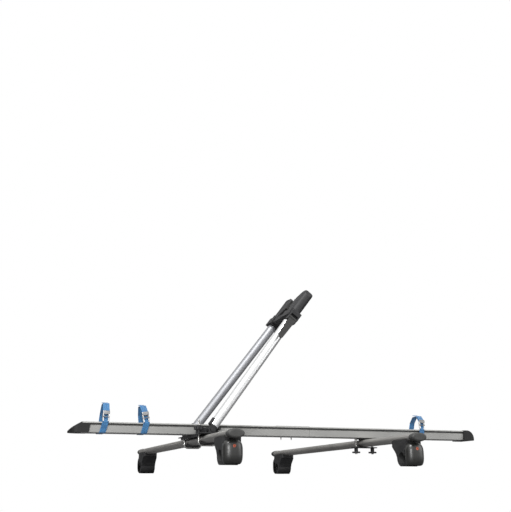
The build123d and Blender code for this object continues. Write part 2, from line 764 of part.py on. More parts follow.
rear_place = Pos(bar_rear_x, tray_y, 0)
add("rear_clamp_plates", seat_plate(), clamp_plate(low_plate_top - under_plate, under_plate), at=rear_place)
add("rear_clamp_bolts", *[Pos(end * rod_x, 0, 0) * clamp_bolt() for end in (-1, 1)], at=rear_place)
for end, end_name in ((-1, "front"), (1, "rear")):
    add("rear_knob_" + end_name, flange_knob(), at=rear_place * Pos(end * rod_x, 0, 0))

cushions = [bracket_place * bar_cushion(bracket_half_y), rear_place * bar_cushion(clamp_half_y)]
add("rubber_pads", *foot_pads, *cushions)

# Folding arm. Its own frame has X across the arm (n), Y along the bars and Z up the arm (s), from the pivot
arm_place = Pos(bar_front_x + pivot_x_shift, tray_y, pivot_rise) * Rot(0, arm_lean, 0)
rail_top = rail_start + rail_depth
tube_slope = (arm_half_base - arm_half_top) / rail_top


def tube_middle(s):
    """Half spacing of the tubes' centre lines, at a distance s up the arm."""
    return arm_half_base - tube_slope * s


def along_tube(side, s0, s1, radius):
    """Round bar that follows one tube's centre line."""
    return round_bar((0, side * tube_middle(s0), s0), (0, side * tube_middle(s1), s1), radius)


def arm_band(s0, s1):
    """Everything between two heights up the arm."""
    return box_between(-arm_half_base, arm_half_base, -2 * arm_half_base, 2 * arm_half_base, s0, s1)


def arm_tube(side, s_end):
    """Thin aluminium tube from the foot to the clamp head."""
    wall = along_tube(side, tube_start, s_end + overrun, tube_radius)
    wall -= along_tube(side, tube_start - overrun, s_end + 2 * overrun, tube_radius - tube_wall)
    return wall & arm_band(0, s_end)


def arm_foot(side):
    """Plug in the tube's lower end with the pivot eye, and a tongue along the tube's upper side."""
    y = side * arm_half_base
    half_eye = eye_width / 2
    foot = round_bar((0, y - half_eye, 0), (0, y + half_eye, 0), eye_radius)
    foot += box_between(-eye_radius, eye_radius, y - half_eye, y + half_eye, 0, tube_start - tongue_wall / 2)
    foot += along_tube(side, 0, tube_start, tube_radius) & arm_band(collar_start, 2 * tube_start)
    foot += along_tube(side, tube_start, tube_start + tongue_length, tube_radius - tube_wall - running_fit)
    tongue = along_tube(side, 0, tube_start + tongue_length, tube_radius + tongue_wall)
    tongue -= along_tube(side, tube_start, tube_start + 2 * tongue_length, tube_radius + running_fit)
    skin = tube_radius + tongue_wall
    tongue &= box_between(-skin, tongue_depth - skin, y - skin, y + skin, collar_start,
                          tube_start + tongue_length)
    foot += tongue
    return foot - round_bar((0, y - eye_width, 0), (0, y + eye_width, 0), pin_radius + running_fit)


def pivot_pin(side):
    """Bolt through both ears and the arm's eye, with a head and a nut."""
    y = side * arm_half_base
    half = ear_gap / 2 + ear_wall + running_fit
    pin = round_bar((0, y - half - pin_head, 0), (0, y + half + pin_head, 0), pin_radius)
    hexagon = RegularPolygon(pin_head_radius, hex_sides)
    for end in (-1, 1):
        start = Plane(origin=(0, y + end * half, 0), z_dir=(0, end, 0))
        pin += extrude(start * hexagon, pin_head)
    return pin


tube_ends = {-1: rail_start - near_tube_gap, 1: rail_start - running_fit}
add("arm_tube_near", arm_tube(-1, tube_ends[-1]), at=arm_place)
add("arm_tube_far", arm_tube(1, tube_ends[1]), at=arm_place)
add("arm_foot_near", arm_foot(-1), at=arm_place)
add("arm_foot_far", arm_foot(1), at=arm_place)
add("pivot_pins", pivot_pin(-1), pivot_pin(1), at=arm_place)

# Clamp head on top of the arm
grip_s = rail_top + grip_from_rail
jaw_top = rail_top + jaw_rise
jaw_mid = tube_middle(grip_s)
pad_back = grip_radius + pad_wall


def head_rail():
    """Hollow rail across the tubes, with a spigot and a neck on top of each tube."""
    half, s0, s1 = rail_half_n, rail_start, rail_top
    rail = box_between(-half, half, -rail_half_y, rail_half_y, s0, s1)
    rail -= box_between(rail_wall - half, half - rail_wall, -rail_half_y - overrun, rail_half_y + overrun,
                        s0 + rail_wall, s1 - rail_wall)
    for side in (-1, 1):
        end = tube_ends[side]
        bore = tube_radius - tube_wall - running_fit
        spigot = along_tube(side, end - spigot_length, rail_start + rail_wall, bore)
        rail += spigot & arm_band(0, end + rail_wall / 2)
    y = -tube_middle(rail_start)
    rail += box_between(-neck_half_n, neck_half_n, y - neck_half_y, y + neck_half_y,
                        tube_ends[-1] + running_fit, s0 + rail_wall / 2)
    return rail


def jaw_block(s0):
    """Outline of a jaw: rounded back over its tube and a claw towards the frame tube, for the +Y side."""
    back = jaw_mid + jaw_half_n
    shoulder = jaw_mid - jaw_half_n
    claw_low, claw_high = grip_s - pad_half_s - pad_wall, grip_s + pad_half_s + pad_wall
    outline = [(back, s0), (back, jaw_top - jaw_half_n), (back - jaw_half_n / 2, jaw_top), (shoulder, jaw_top),
               (pad_back + pad_wall, claw_high + pad_wall), (pad_back, claw_high), (pad_back, claw_low),
               (pad_back + pad_wall, claw_low - pad_wall), (shoulder, rail_top + fit), (shoulder, s0)]
    slab = side_profile(outline, -jaw_half_n, jaw_half_n)
    plan = Pos(0, jaw_mid) * Circle(jaw_half_n)
    plan += Pos(0, (jaw_mid + pad_back) / 2) * Rectangle(2 * jaw_claw_half_n, jaw_mid - pad_back)
    block = slab & plan_profile(plan, s0, jaw_top)
    front = Pos(0, (s0 + jaw_top) / 2) * Rectangle(2 * jaw_half_n, jaw_top - s0)
    front = fillet(front.vertices().group_by(Axis.Y)[-1], jaw_half_n - jaw_edge)
    return block & front_profile(front, 0, 2 * back)


def grip_pad():
    """Rubber shoe with a round hollow for the frame tube, for the +Y side."""
    pad = box_between(-pad_half_n, pad_half_n, 0, pad_back - running_fit, grip_s - pad_half_s,
                      grip_s + pad_half_s)
    return pad - round_bar((-rail_half_y, 0, grip_s), (rail_half_y, 0, grip_s), grip_radius)


def far_jaw():
    """Fixed jaw with a collar round the far tube and the end of the rail."""
    collar_low = rail_start - collar_drop
    jaw = jaw_block(rail_top + fit)
    y = tube_middle(rail_start)
    collar = plan_profile(Pos(0, y) * Circle(tube_radius + 2 * tongue_wall), collar_low, rail_top + collar_top)
    jaw += collar
    cheek = rail_half_n + near_wall
    jaw += box_between(-cheek, cheek, jaw_mid - jaw_half_n, rail_half_y + near_wall, collar_low + fit,
                       rail_top + near_wall)
    half = rail_half_n + running_fit
    jaw -= box_between(-half, half, 0, rail_half_y + running_fit, rail_start - running_fit,
                       rail_top + running_fit)
    jaw -= along_tube(1, 0, rail_start + rail_wall, tube_radius + running_fit)
    middle = rail_start + rail_depth / 2
    return jaw - round_bar((0, 0, middle), (0, 2 * rail_half_y, middle), tie_radius + running_fit)


def near_jaw():
    """Sliding jaw: it rides on the head rail and carries the lever's housing. Drawn for +Y, then turned."""
    lip_low = rail_start - near_lip
    jaw = jaw_block(rail_top + near_wall - overrun)
    cheek = rail_half_n + near_wall
    end = rail_half_y + fit
    wall_end = end + near_wall
    shoe = box_between(-cheek, cheek, jaw_mid - 2 * jaw_half_n, wall_end, lip_low, rail_top + near_wall)
    shoe = fillet(shoe.edges().filter_by(Axis.Y), near_wall / 2)
    jaw += shoe
    half = rail_half_n + fit
    jaw -= box_between(-half, half, 0, end, rail_start - fit, rail_top + fit)
    neck = neck_half_n + fit
    jaw -= box_between(-neck, neck, 0, end, lip_low - overrun, rail_start)
    housing = box_between(-housing_half_n, housing_half_n, end, end + housing_depth,
                          rail_start - housing_low, rail_top - housing_high)
    housing = fillet(housing.edges().filter_by(Axis.X).group_by(Axis.Y)[-1], near_wall)
    jaw += housing
    hub = lever_hub_radius + fit
    slot = lever_half_n + fit
    pivot_s, pivot_y = rail_start - lever_pivot_drop + hub, end + lever_pivot_out
    jaw -= box_between(-slot, slot, end - overrun, end + housing_depth + overrun,
                       rail_start - housing_low - overrun, pivot_s)
    jaw -= round_bar((-slot, pivot_y, pivot_s), (slot, pivot_y, pivot_s), hub)
    jaw -= box_between(-slot, slot, pivot_y - lever_pin_radius, end + housing_depth + overrun, pivot_s - overrun,
                       pivot_s + lever_swing)
    pin = lever_pin_radius + running_fit
    jaw -= round_bar((-cheek, pivot_y, pivot_s), (cheek, pivot_y, pivot_s), pin)
    middle = rail_start + rail_depth / 2
    jaw -= round_bar((0, 0, middle), (0, end + housing_depth - near_wall, middle), tie_radius + fit)
    return jaw


def clamp_lever():
    """Toggle lever that lies along the near tube, with its hub and pin. Drawn for +Y, then turned."""
    end = rail_half_y + fit
    pivot_y = end + lever_pivot_out
    pivot_s = rail_start - lever_pivot_drop + lever_hub_radius + fit
    tip_s = pivot_s - lever_length
    tip_y = pivot_y + tube_slope * lever_length
    outline = [(pivot_y - lever_root / 2, pivot_s), (pivot_y + lever_root / 2, pivot_s),
               (tip_y + lever_tip / 2, tip_s), (tip_y - lever_tip / 2, tip_s)]
    blade = side_profile(outline, -lever_half_n, lever_half_n)
    taper = Polygon((-lever_half_n, pivot_s), (lever_half_n, pivot_s), (lever_tip_half_n, tip_s),
                    (-lever_tip_half_n, tip_s), align=None)
    taper = fillet(taper.vertices().sort_by(Axis.Y)[:2], lever_tip / 2)
    blade &= front_profile(taper, 0, 2 * tip_y)
    hub = round_bar((-lever_half_n, pivot_y, pivot_s), (lever_half_n, pivot_y, pivot_s), lever_hub_radius)
    reach = housing_half_n
    return blade + hub + round_bar((-reach, pivot_y, pivot_s), (reach, pivot_y, pivot_s), lever_pin_radius)


def tie_rod():
    """Rod through the head rail, with its nut against the far jaw."""
    middle = rail_start + rail_depth / 2
    seat = rail_half_y + near_wall + running_fit
    near = -(rail_half_y + fit + near_wall)
    rod = round_bar((0, near, middle), (0, seat + tie_nut, middle), tie_radius)
    nut = Plane(origin=(0, seat, middle), z_dir=(0, 1, 0)) * RegularPolygon(tie_nut_radius, hex_sides)
    return rod + extrude(nut, tie_nut)


turned = arm_place * Rot(0, 0, 180)
add("head_rail", head_rail(), at=arm_place)
add("far_jaw", far_jaw(), at=arm_place)
add("far_jaw_pad", grip_pad(), at=arm_place)
add("near_jaw", near_jaw(), at=turned)
add("near_jaw_pad", grip_pad(), at=turned)
add("clamp_lever", clamp_lever(), at=turned)
add("tie_rod", tie_rod(), at=arm_place)


# Wheel straps, drawn in (y, z) about the tray's centre line, with z = 0 at the tray's lip
def strap_outline(grow):
    """Closed outline of the loop: under the tray, round the lips and over the rim."""
    low = -tray_height - fit - grow
    lip = lip_half + fit + grow
    base = base_half + fit + grow
    shoulder = strap_shoulder_half + grow
    crown = strap_crown_half + grow
    top = strap_rise - strap_thickness + grow
    right = [(base, low), (lip, -lip_height), (lip, fit + grow), (shoulder, strap_shoulder_rise), (crown, top)]
    outline = Polygon(*right, *[(-y, z) for y, z in reversed(right)], align=None)
    return fillet(outline.vertices(), strap_round / 2 + grow)


def wheel_strap(lean):
    """One band of webbing, closed as it is when a wheel is tied down; its top stands a little to one side."""
    half = strap_width / 2
    low = -tray_height - overrun
    band = strap_outline(strap_thickness) - strap_outline(0)
    band = extrude(Plane.YZ * band, half + abs(lean), both=True)
    run = [(-half, low), (half, low), (half, 0), (half + lean, strap_rise), (lean - half, strap_rise),
           (-half, 0)]
    return band & front_profile(Polygon(*run, align=None), -2 * lip_half, 2 * lip_half)


# Buckles lie on the near run of the strap between the lip and the shoulder
run_top = (strap_shoulder_half + strap_thickness / 2, strap_shoulder_rise)
run_low = (lip_half + fit + strap_thickness / 2, fit + strap_thickness / 2)
run_lean = degrees(atan2(run_low[0] - run_top[0], run_top[1] - run_low[1]))
run_middle = ((run_top[0] + run_low[0]) / 2, (run_top[1] + run_low[1]) / 2)


def buckle_frame():
    """Pressed frame round the strap, with a window for the cam. Own frame: Z out from the strap, Y up it."""
    half_x, half_y = buckle_width / 2, buckle_length / 2
    back = -buckle_slot / 2 - strap_thickness / 2
    frame = box_between(-half_x, half_x, -half_y, half_y, back, back + buckle_depth)
    frame = fillet(frame.edges().filter_by(Axis.Z), cam_radius / 2)
    slot = strap_width / 2 + fit
    frame -= box_between(-slot, slot, -buckle_length, buckle_length, -buckle_slot / 2, buckle_slot / 2)
    window = buckle_window / 2
    frame -= box_between(-window, window, strap_thickness - half_y, half_y - strap_thickness, 0, buckle_length)
    pin = cam_pin_radius + running_fit
    cam_z = back + buckle_depth - cam_radius / 2
    return frame - round_bar((-half_x + strap_thickness, 0, cam_z), (half_x - strap_thickness, 0, cam_z), pin)


def buckle_cam():
    """Cam lever on its cross pin, folded flat over the frame."""
    back = -buckle_slot / 2 - strap_thickness / 2
    cam_z = back + buckle_depth - cam_radius / 2
    half = cam_width / 2
    cam = round_bar((-half, 0, cam_z), (half, 0, cam_z), cam_radius / 2 + cam_pin_radius / 2)
    flat = back + buckle_depth + running_fit
    cam += box_between(-half, half, 0, cam_length, flat, flat + cam_thickness)
    reach = buckle_width / 2 - strap_thickness - running_fit
    return cam + round_bar((-reach, 0, cam_z), (reach, 0, cam_z), cam_pin_radius)


straps = ((strap_first_inset - tray_length / 2, strap_first_lean),
          (strap_second_inset - tray_length / 2, strap_second_lean),
          (tray_length / 2 - strap_third_inset, strap_third_lean))
buckles = []
for index, (strap_x, lean) in enumerate(straps):
    place = Pos(strap_x, tray_y, lip_top)
    add("wheel_strap_" + str(index + 1), wheel_strap(lean), at=place)
    out = Plane(origin=(lean * run_middle[1] / strap_rise, -run_middle[0], run_middle[1]), x_dir=(1, 0, 0),
                z_dir=(0, -cos(radians(run_lean)), sin(radians(run_lean))))
    turn = degrees(atan2(lean * cos(radians(run_lean)), strap_rise))
    spot = place * out.location * Rot(0, 0, -turn)
    buckles.append(spot * buckle_frame())
    add("buckle_cam_" + str(index + 1), buckle_cam(), at=spot)
add("strap_buckles", *buckles)

for name, shape in nodes.items():
    shape.label = name
    export_step(shape, "parts/" + name + ".step")
print(len(nodes), "nodes")
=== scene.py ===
from math import cos, pi, radians, sin

import bmesh
import bpy
import numpy as np
from mathutils import Matrix, Vector


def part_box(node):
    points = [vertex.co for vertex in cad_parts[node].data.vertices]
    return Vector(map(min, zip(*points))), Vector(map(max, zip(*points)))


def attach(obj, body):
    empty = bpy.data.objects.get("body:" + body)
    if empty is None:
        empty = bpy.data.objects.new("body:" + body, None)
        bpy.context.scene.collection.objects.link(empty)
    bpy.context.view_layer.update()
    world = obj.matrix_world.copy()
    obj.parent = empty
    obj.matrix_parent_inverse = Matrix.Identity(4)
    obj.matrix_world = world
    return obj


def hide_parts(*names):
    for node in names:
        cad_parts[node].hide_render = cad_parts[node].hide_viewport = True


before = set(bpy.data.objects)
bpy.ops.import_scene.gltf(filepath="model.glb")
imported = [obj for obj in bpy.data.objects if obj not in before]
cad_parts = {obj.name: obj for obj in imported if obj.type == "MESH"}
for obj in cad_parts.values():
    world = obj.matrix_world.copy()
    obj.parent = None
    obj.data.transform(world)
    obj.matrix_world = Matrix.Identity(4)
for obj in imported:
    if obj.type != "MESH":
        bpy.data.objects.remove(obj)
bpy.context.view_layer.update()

# The camera looks up at the carrier from beside it, a little below the rail feet.
# Its lens and place come from the outlines in the photograph.
scene = bpy.context.scene
image_side = 512
focal_pixels = 816.34
sensor_mm = 36.0
eye_point = Vector((-1.0633, -2.8338, -0.0764))
look_right, look_up_angle, look_roll = radians(20.225), radians(16.16), radians(-0.234)

camera = bpy.data.objects.new("camera", bpy.data.cameras.new("camera"))
scene.collection.objects.link(camera)
camera.data.sensor_width = sensor_mm
camera.data.lens = focal_pixels / image_side * sensor_mm
camera.data.clip_end = 60.0
flat_share = cos(look_up_angle)
ahead = Vector((sin(look_right) * flat_share, cos(look_right) * flat_share, sin(look_up_angle)))
level_right = Vector((cos(look_right), -sin(look_right), 0.0))
level_up = level_right.cross(ahead)
right = cos(look_roll) * level_right + sin(look_roll) * level_up
upward = right.cross(ahead)
camera.matrix_world = Matrix((right, upward, -ahead)).transposed().to_4x4()
camera.location = eye_point
scene.camera = camera


# Crossbars: drawn oval aluminium tube with a silver anodised skin.
# The die leaves faint lines along the bar, and the anodising is a little uneven.
class Wire:
    """An output socket that takes part in Python sums, each operator adding its Math node."""

    def __init__(self, finish, socket):
        self.finish, self.socket = finish, socket

    def maths(self, operation, first, second):
        return self.finish.node("ShaderNodeMath", {"operation": operation}, {0: first, 1: second})

    def __add__(self, other):
        return self.maths("ADD", self, other)

    def __radd__(self, other):
        return self.maths("ADD", other, self)

    def __sub__(self, other):
        return self.maths("SUBTRACT", self, other)

    def __rsub__(self, other):
        return self.maths("SUBTRACT", other, self)

    def __mul__(self, other):
        return self.maths("MULTIPLY", self, other)

    def __rmul__(self, other):
        return self.maths("MULTIPLY", other, self)

    def clipped(self, low, high):
        """0 below low and 1 above high, straight between."""
        return self.finish.node("ShaderNodeMapRange", {"clamp": True}, {0: self, 1: low, 2: high})


class Finish:
    """A material on one Principled shader, with one method that adds any other node."""

    colour_a, colour_b, colour_mixed = 6, 7, 2      # places of the colour sockets on a Mix node

    def __init__(self, name, **sockets):
        self.material = bpy.data.materials.new(name)
        self.material.use_nodes = True
        self.nodes, self.links = self.material.node_tree.nodes, self.material.node_tree.links
        self.shader = self.nodes["Principled BSDF"]
        for socket, value in sockets.items():
            self.shader.inputs[socket.replace("_", " ")].default_value = value

    def node(self, kind, settings, values, output=0):
        """A node with its settings made first and its sockets filled from numbers or Wires."""
        made = self.nodes.new(kind)
        for name, value in settings.items():
            setattr(made, name, value)
        for socket, value in values.items():
            if isinstance(value, Wire):
                self.links.new(value.socket, made.inputs[socket])
            else:
                made.inputs[socket].default_value = value
        return Wire(self, made.outputs[output])

    def give(self, **wires):
        """Links Wires to the shader's own sockets."""
        for socket, wire in wires.items():
            self.links.new(wire.socket, self.shader.inputs[socket.replace("_", " ")])

    def place(self, stretch=(1.0, 1.0, 1.0), turn=(0.0, 0.0, 0.0)):
        """Object coordinates in metres, turned and then stretched."""
        at = self.node("ShaderNodeTexCoord", {}, {}, "Object")
        at = self.node("ShaderNodeMapping", {"vector_type": "POINT"}, {"Vector": at, "Rotation": turn})
        return self.node("ShaderNodeMapping", {"vector_type": "POINT"}, {"Vector": at, "Scale": stretch})

    def noise(self, at, scale, detail=2.0, roughness=0.5):
        return self.node("ShaderNodeTexNoise", {}, {"Vector": at, "Scale": scale, "Detail": detail,
                                                    "Roughness": roughness})

    def between(self, share, low, high):
        """Mix of two colours, each given as three numbers or as a Wire."""
        low, high = [colour if isinstance(colour, Wire) else (*colour, 1.0) for colour in (low, high)]
        return self.node("ShaderNodeMix", {"data_type": "RGBA"},
                         {"Factor": share, self.colour_a: low, self.colour_b: high}, self.colour_mixed)

    def edges(self, radius, samples=6):
        """Normal that rounds the sharp edges of machined and moulded pieces."""
        return self.node("ShaderNodeBevel", {"samples": samples}, {"Radius": radius})

    def bumps(self, height, strength, distance, normal=None):
        values = {"Height": height, "Strength": strength, "Distance": distance}
        if normal is not None:
            values["Normal"] = normal
        return self.node("ShaderNodeBump", {}, values)


def wear(nodes, finish):
    """Puts a finish on CAD nodes."""
    for name in nodes:
        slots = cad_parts[name].data.materials
        slots.clear()
        slots.append(finish.material)


axis_x, axis_y, axis_z = 0, 1, 2
line_stretch = 0.02      # of the noise along the die lines' axis
# Painted shade in the tray's groove under each lip: its near-black colour, its share, and how softly it fades
# in at the groove's foot and at the lip.
groove_shade_colour, groove_shade_share = (0.020, 0.020, 0.019), 0.9
groove_shade_foot_fade, groove_shade_lip_fade = 0.0006, 0.0003


def drawn_aluminium(name, colour, dark, axis, roughness, turn=(0.0, 0.0, 0.0), metallic=0.85, groove=None):
    """Anodised extrusion: fine lines along one axis, soft blotches and rounded edges.

    A groove is the two heights between which the colour is darkened: painted shade under a lip.
    """
    finish = Finish(name, Metallic=metallic, IOR=1.45)
    along = [1.0 if i != axis else line_stretch for i in range(3)]
    lines = finish.noise(finish.place(along, turn), 900.0, 3.0)
    blotches = finish.noise(finish.place(turn=turn), 9.0, 3.0)
    scuffs = finish.noise(finish.place([v ** 0.5 for v in along], turn), 60.0, 4.0, 0.6).clipped(0.62, 0.8)
    shade = lines * 0.35 + blotches * 0.65
    tone = finish.between(shade.clipped(0.3, 0.7), dark, colour)
    # Painted shade: between the groove's two heights the colour is pulled towards near black.
    if groove:
        foot, lip = groove
        height = finish.node("ShaderNodeSeparateXYZ", {}, {"Vector": finish.place()}, "Z")
        above_foot = height.clipped(foot - groove_shade_foot_fade, foot + groove_shade_foot_fade)
        above_lip = height.clipped(lip - groove_shade_lip_fade, lip + groove_shade_lip_fade)
        tone = finish.between(above_foot * (1.0 - above_lip) * groove_shade_share, tone, groove_shade_colour)
    finish.give(Base_Color=tone, Roughness=roughness + lines * 0.12 + scuffs * 0.1)
    finish.give(Normal=finish.bumps(lines, 0.12, 0.0002, finish.edges(0.0006)))
    return finish


bar_silver = drawn_aluminium("bar_silver", (0.46, 0.452, 0.43), (0.37, 0.362, 0.345), axis_y, 0.40)
wear(["crossbar_front", "crossbar_rear"], bar_silver)


# Black moulded parts: end caps, foot bodies, tray caps, jaws, saddles, star knobs and hand nuts.
# Glass-filled nylon with a fine spark-eroded grain, clouded in patches by weather and dust.
def moulded(name, colour, pale, roughness, grain, coat=0.0):
    """Grained black plastic: small bumps, cloudy patches and rubbed edges."""
    finish = Finish(name, IOR=1.5, Specular_IOR_Level=0.3, Coat_Weight=coat, Coat_Roughness=0.3)
    at = finish.place()
    pits = finish.node("ShaderNodeTexVoronoi", {"feature": "SMOOTH_F1"}, {"Vector": at, "Scale": 900.0})
    cloud = finish.noise(at, 22.0, 4.0, 0.6)
    dust = finish.noise(at, 240.0, 3.0, 0.7).clipped(0.56, 0.78)
    tone = finish.between(cloud.clipped(0.35, 0.7) * 0.7 + dust * 0.3, colour, pale)
    finish.give(Base_Color=tone, Roughness=roughness + cloud * 0.14 + dust * 0.1)
    finish.give(Normal=finish.bumps(pits + cloud * 0.2, grain, 0.0003, finish.edges(0.0012)))
    return finish


places = ("front_near", "front_far", "rear_near", "rear_far")
star_knobs = ["star_knob_" + side + "_" + end for side in ("near", "far") for end in ("front", "rear")]
black_plastic = moulded("black_plastic", (0.020, 0.020, 0.021), (0.038, 0.038, 0.039), 0.46, 0.25)
wear(["lower_saddles", "far_jaw", "near_jaw", "rear_knob_front", "rear_knob_rear"], black_plastic)
wear(["foot_body_" + place for place in places], black_plastic)
wear(star_knobs, black_plastic)

# The bars' end caps are a lighter dark grey, and the tray's caps are the deepest black.
grey_cap_plastic = moulded("grey_cap_plastic", (0.045, 0.045, 0.044), (0.075, 0.075, 0.073), 0.42, 0.25)
wear(["bar_end_caps"], grey_cap_plastic)
deep_plastic = moulded("deep_plastic", (0.008, 0.008, 0.008), (0.016, 0.016, 0.016), 0.50, 0.25)
wear(["tray_cap_front", "tray_cap_rear"], deep_plastic)


# Foot covers and the clamp lever: smoother black plastic with a soft gloss.
# The cover's barrel shape carries one tall highlight, broken by handling marks.
satin_black = moulded("satin_black", (0.010, 0.010, 0.009), (0.018, 0.018, 0.0165), 0.34, 0.02, 0.8)
wear(["clamp_lever"], satin_black)
cover_wall, lock_hole = 0.0025, 0.0049
cover_steps, pole_gap = 81, 0.02      # points each way over a cover, and the angle left open at its poles
drill_length, sharp_angle = 0.03, radians(40.0)


def new_piece(name, points, faces, finish, body, end_size=0):
    """Mesh object from a grid's points and faces, riding on a body.

    An end size is the number of points in the first and in the last row, which then close the grid as faces.
    """
    mesh = bpy.data.meshes.new(name)
    faces = faces.tolist()
    if end_size:
        faces += [list(range(end_size))[::-1], list(range(len(points) - end_size, len(points)))]
    mesh.from_pydata(points.tolist(), [], faces)
    mesh.materials.append(finish.material)
    mesh.shade_smooth()
    made = bpy.data.objects.new(name, mesh)
    scene.collection.objects.link(made)
    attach(made, body)
    return made


def grid_faces(rows, columns, close_rows, close_columns):
    """Quads of a grid of points, row by row, joined end to start where asked."""
    i = np.arange(rows if close_rows else rows - 1)
    j = np.arange(columns if close_columns else columns - 1)
    i, j = np.meshgrid(i, j, indexing="ij")
    below, beside = (i + 1) % rows, (j + 1) % columns
    return np.stack([i * columns + j, i * columns + beside, below * columns + beside, below * columns + j],
                    -1).reshape(-1, 4)


def hollow_and_bore(skin, spot):
    """Gives a skin its wall and drills a round hole through it along y, with sharp rims."""
    wall = skin.modifiers.new("wall", "SOLIDIFY")
    wall.thickness, wall.offset = cover_wall, -1.0
    drill_mesh = bpy.data.meshes.new("drill_" + skin.name)
    work = bmesh.new()
    bmesh.ops.create_cone(work, cap_ends=True, segments=48, radius1=lock_hole, radius2=lock_hole,
                          depth=drill_length,
                          matrix=Matrix.Translation(spot) @ Matrix.Rotation(radians(90.0), 4, "X"))
    work.to_mesh(drill_mesh)
    work.free()
    drill = bpy.data.objects.new("drill_" + skin.name, drill_mesh)
    scene.collection.objects.link(drill)
    bore = skin.modifiers.new("bore", "BOOLEAN")
    bore.object, bore.operation, bore.solver = drill, "DIFFERENCE", "EXACT"
    bpy.context.view_layer.update()
    finished = bpy.data.meshes.new_from_object(skin.evaluated_get(bpy.context.evaluated_depsgraph_get()))
    skin.modifiers.clear()
    skin.data = finished
    finished.shade_smooth()
    finished.set_sharp_from_angle(angle=sharp_angle)
    bpy.data.objects.remove(drill)


def barrel_cover(place):
    """A foot cover swelled both ways, hollow behind and bored for its lock.

    With a from 0 to pi across it and b from -pi/2 to pi/2 up it, and half sizes W, D, H from the CAD cover:
    x = W cos(b)^e sgn(cos a) |cos a|^0.8, y = D cos(b)^0.5 sin(a)^0.8, z = H sgn(sin b) |sin b|^0.7,
    where e is 0.5 above the middle and 0.25 below it.
    """
    low_corner, high_corner = [np.array(corner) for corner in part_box("foot_cover_" + place)]
    middle, half = (low_corner + high_corner) / 2, (high_corner - low_corner) / 2
    outward = -1.0 if middle[1] < 0 else 1.0
    a = np.linspace(0.0, pi, cover_steps)[None, :]
    b = np.linspace(-pi / 2 + pole_gap, pi / 2 - pole_gap, cover_steps)[:, None]
    narrow = np.cos(b) ** np.where(b > 0, 0.5, 0.25)
    x = middle[0] + half[0] * narrow * np.sign(np.cos(a)) * np.abs(np.cos(a)) ** 0.8
    y = middle[1] - outward * half[1] + outward * 2 * half[1] * np.cos(b) ** 0.5 * np.sin(a) ** 0.8
    z = middle[2] + half[2] * np.sign(np.sin(b)) * np.abs(np.sin(b)) ** 0.7 + 0 * a
    points = np.stack([x, y, z], -1).reshape(-1, 3)
    faces = grid_faces(b.shape[0], a.shape[1], False, False)
    skin = new_piece("barrel_cover_" + place, points, faces if outward > 0 else faces[:, ::-1], satin_black,
                     "cover_" + place)
    lock_low, lock_high = [np.array(corner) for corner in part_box("foot_lock_" + place)]
    hollow_and_bore(skin, (lock_low + lock_high) / 2)
    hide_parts("foot_cover_" + place)


for place in places:
    barrel_cover(place)

# Lock barrels: pressed metal in an orange-red plastic collar.
# Only the small round face shows in the cover.
lock_red = Finish("lock_red", IOR=1.5)
lock_mottle = lock_red.noise(lock_red.place(), 700.0, 3.0)
lock_tone = lock_red.between(lock_mottle.clipped(0.3, 0.7), (0.42, 0.085, 0.045), (0.55, 0.13, 0.07))
lock_red.give(Base_Color=lock_tone, Roughness=0.35 + lock_mottle * 0.15,
              Normal=lock_red.bumps(lock_mottle, 0.1, 0.0002, lock_red.edges(0.0004)))
wear(["foot_lock_" + place for place in places], lock_red)


# Zinc-plated steel: the tray's screws, U-bolts, tie rod and the bolts of the rear clamp and the rail jaws.
# The plating is a cloudy grey with a faint yellow cast. The CAD's plain buckles, which the dressed ones
# replace, wear it too.
def plated(name, bright, dull, roughness):
    """Plated steel: cloudy tone, fine tumbling marks."""
    finish = Finish(name, Metallic=1.0)
    at = finish.place()
    cloud = finish.noise(at, 130.0, 4.0, 0.65)
    marks = finish.noise(at, 1500.0, 2.0)
    finish.give(Base_Color=finish.between(cloud.clipped(0.3, 0.7), dull, bright),
                Roughness=roughness + cloud * 0.2,
                Normal=finish.bumps(marks, 0.12, 0.0002, finish.edges(0.0004)))
    return finish


zinc = plated("zinc", (0.72, 0.71, 0.68), (0.50, 0.50, 0.49), 0.22)
wear(["tray_joint_screws", "rear_clamp_bolts", "tie_rod", "u_bolts"], zinc)
wear(["jaw_bolt_" + place for place in places], zinc)
wear(["buckle_cam_1", "buckle_cam_2", "buckle_cam_3", "strap_buckles"], zinc)

# Wheel tray: two anodised extrusions and the joiner between them.
# Their sides are flat and even, with die lines along the length. The groove under each lip is darkened with
# painted shade.
groove_foot, groove_lip = 0.1262, 0.1316      # heights above the ground
tray_silver = drawn_aluminium("tray_silver", (0.42, 0.42, 0.405), (0.355, 0.355, 0.342), axis_x, 0.45,
                              metallic=0.35, groove=(groove_foot, groove_lip))
wear(["tray_front", "tray_rear", "tray_joiner"], tray_silver)


# Base bracket, clamp plates and the painted castings: black powder coat over steel and aluminium.
# The coat has a light orange-peel and shows grey where an edge is rubbed.
def powder_coat(name, colour, worn, roughness):
    """Powder coat: orange-peel bumps and pale rubs."""
    finish = Finish(name, IOR=1.5, Specular_IOR_Level=0.3)
    at = finish.place()
    peel = finish.noise(at, 420.0, 2.0)
    rubs = finish.noise(at, 75.0, 5.0, 0.7).clipped(0.6, 0.74)
    finish.give(Base_Color=finish.between(rubs * 0.5, colour, worn), Roughness=roughness + rubs * 0.12,
                Normal=finish.bumps(peel, 0.25, 0.0004, finish.edges(0.0009)))
    return finish


black_coat = powder_coat("black_coat", (0.018, 0.018, 0.019), (0.050, 0.050, 0.052), 0.46)
wear(["base_bracket", "rear_clamp_plates", "pivot_pins", "head_rail", "arm_foot_near", "arm_foot_far"],
     black_coat)
wear(["rail_jaw_" + place for place in places], black_coat)
